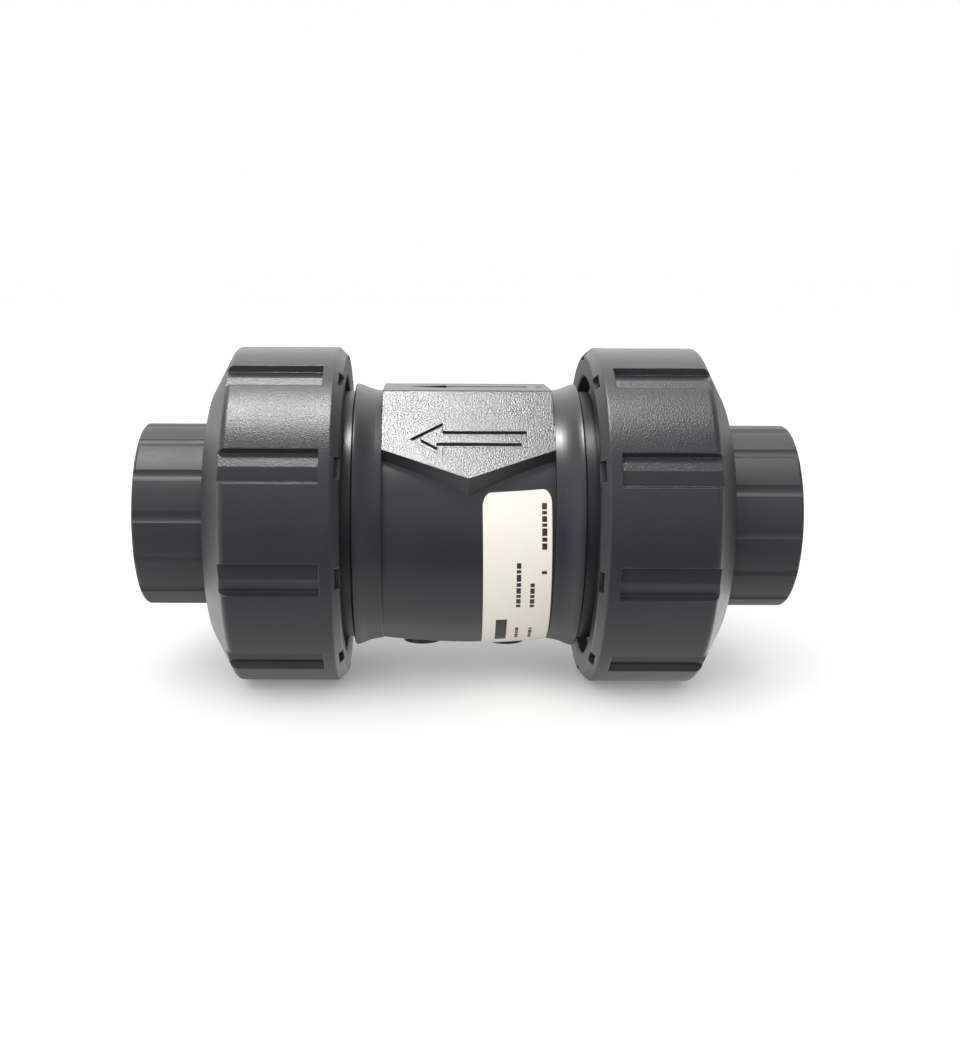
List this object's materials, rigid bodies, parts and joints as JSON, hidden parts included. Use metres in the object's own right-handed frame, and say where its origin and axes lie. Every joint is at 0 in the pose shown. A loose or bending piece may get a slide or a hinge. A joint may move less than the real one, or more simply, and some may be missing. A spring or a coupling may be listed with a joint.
{
  "type": "union check valve",
  "caption": "Plastic true-union check valve with socket ends, two grooved union nuts and a cone that lifts off its seat with the flow.",
  "frame": {"origin": "centre of the valve body on the flow axis, which is also the centre of the overall box", "axes": "+X along the flow axis towards the inlet, +Z towards the flat top with the flow arrow, -Y towards the front panel"},
  "size_m": [0.0952, 0.05, 0.05],
  "materials": {
    "body_plastic": "satin moulded",
    "nut_plastic": "fine spark-eroded texture",
    "end_plastic": "satin moulded",
    "inner_plastic": "smooth moulded",
    "seal_rubber": "matt",
    "insert_steel": "bright turned",
    "label_film": "semi-matt film"
  },
  "bodies": {
    "valve_body": {"valve_body": "body_plastic", "mounting_inserts": "insert_steel", "union_bush": "inner_plastic", "union_bush_o_ring": "seal_rubber", "cone_guide": "inner_plastic", "inlet_face_seal": "seal_rubber", "outlet_face_seal": "seal_rubber", "rating_label": "label_film"},
    "cone": {"cone": "inner_plastic", "cone_seal": "seal_rubber", "cone_seal_clamp": "inner_plastic"},
    "inlet_end": {"inlet_valve_end": "end_plastic"},
    "outlet_end": {"outlet_valve_end": "end_plastic"},
    "inlet_nut": {"inlet_union_nut": "nut_plastic"},
    "outlet_nut": {"outlet_union_nut": "nut_plastic"}
  },
  "joints": [
    {"name": "cone_lift", "type": "slide", "parent": "valve_body", "child": "cone", "axis": [-1, 0, 0], "range_m": [0, 0.006]},
    {"name": "inlet_end_pull", "type": "slide", "parent": "valve_body", "child": "inlet_end", "axis": [1, 0, 0], "range_m": [0, 0.012]},
    {"name": "inlet_nut_turn", "type": "hinge", "parent": "inlet_end", "child": "inlet_nut", "pos_m": [0.027, 0, 0], "axis": [1, 0, 0], "range_deg": [0, 1440]},
    {"name": "outlet_end_pull", "type": "slide", "parent": "valve_body", "child": "outlet_end", "axis": [-1, 0, 0], "range_m": [0, 0.012]},
    {"name": "outlet_nut_turn", "type": "hinge", "parent": "outlet_end", "child": "outlet_nut", "pos_m": [-0.027, 0, 0], "axis": [-1, 0, 0], "range_deg": [0, 1440]}
  ],
  "couplings": [
    {"joint": "inlet_end_pull", "follows": "inlet_nut_turn", "m_per_rad": 0.00047746},
    {"joint": "outlet_end_pull", "follows": "outlet_nut_turn", "m_per_rad": 0.00047746}
  ]
}
